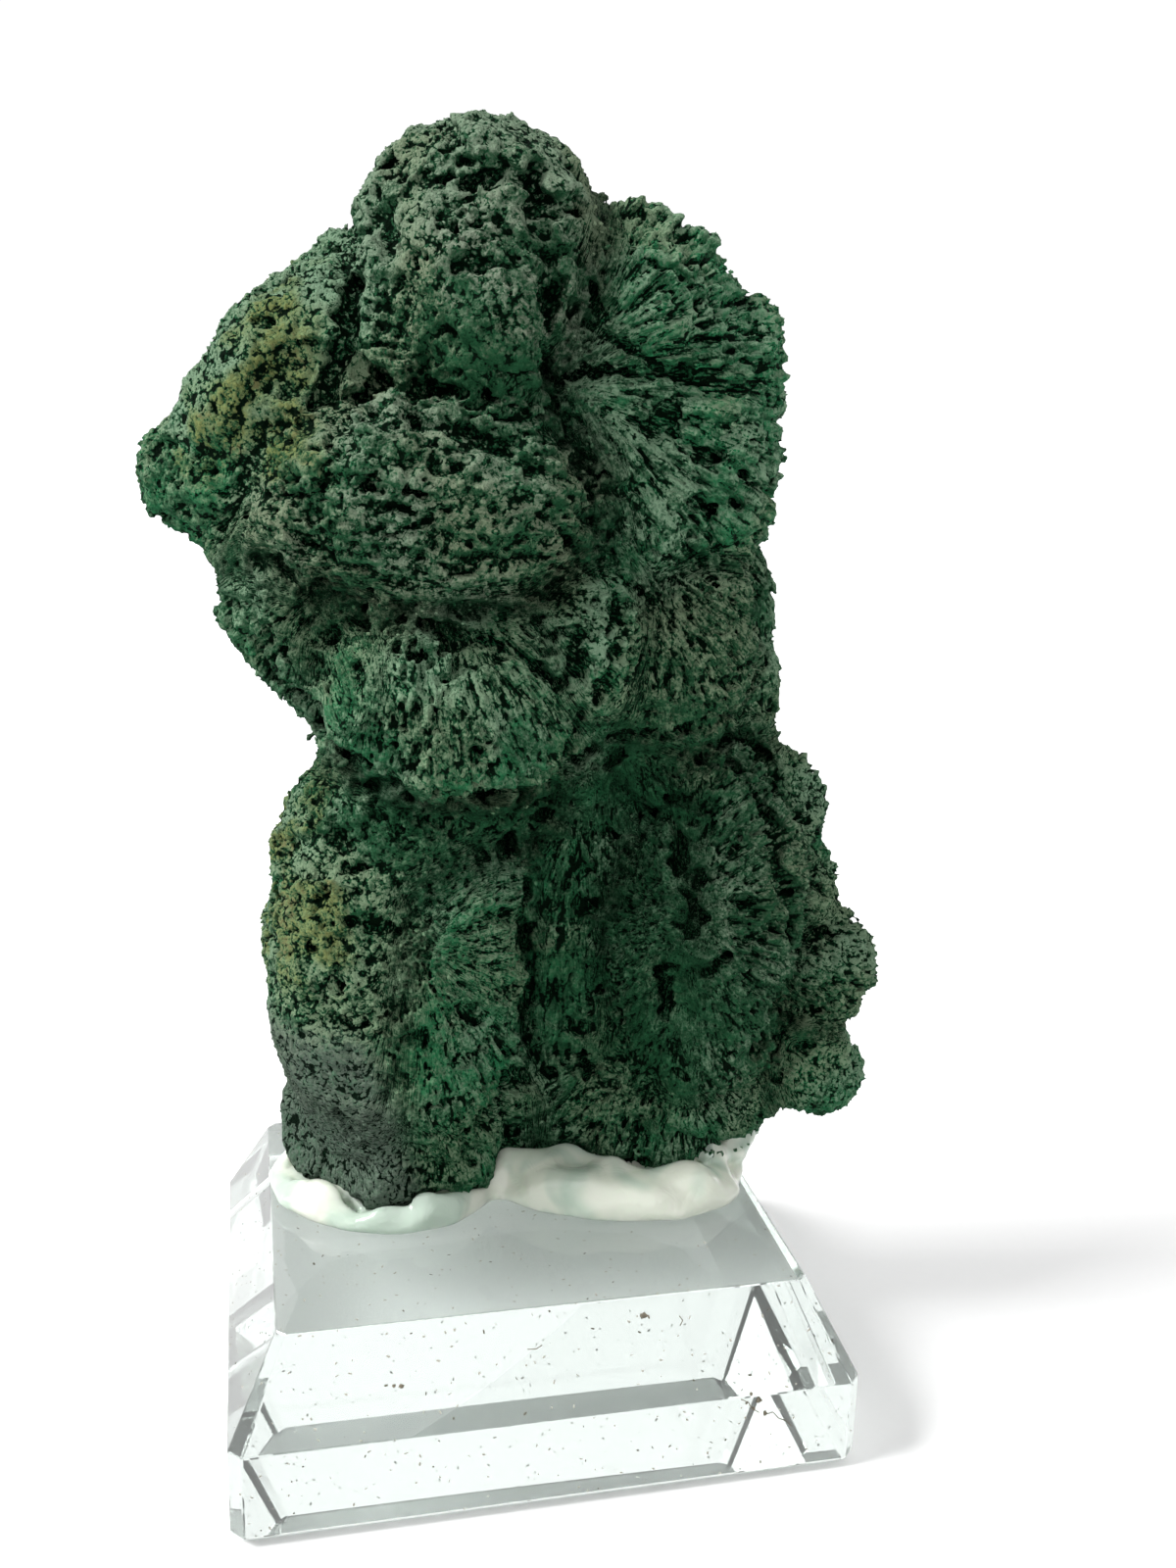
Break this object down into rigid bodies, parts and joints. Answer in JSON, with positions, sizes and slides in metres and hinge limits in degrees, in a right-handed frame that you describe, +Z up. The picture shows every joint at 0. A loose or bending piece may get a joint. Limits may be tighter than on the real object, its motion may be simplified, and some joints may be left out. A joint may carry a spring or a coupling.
{
  "type": "malachite specimen on a glass display base",
  "caption": "Upright lobed malachite specimen, grown as one piece, glued upright on a bevelled clear glass display base.",
  "frame": {"origin": "centre of the glass base's underside", "axes": "+Z up, +X to the right along the base's front edge, +Y away from the front"},
  "size_m": [0.0759, 0.05, 0.1252],
  "materials": {
    "glass": "gloss",
    "glue": "satin",
    "malachite": "matte"
  },
  "bodies": {
    "root": {"glass_base": "glass", "glue_bed": "glue", "malachite": "malachite"}
  },
  "joints": []
}
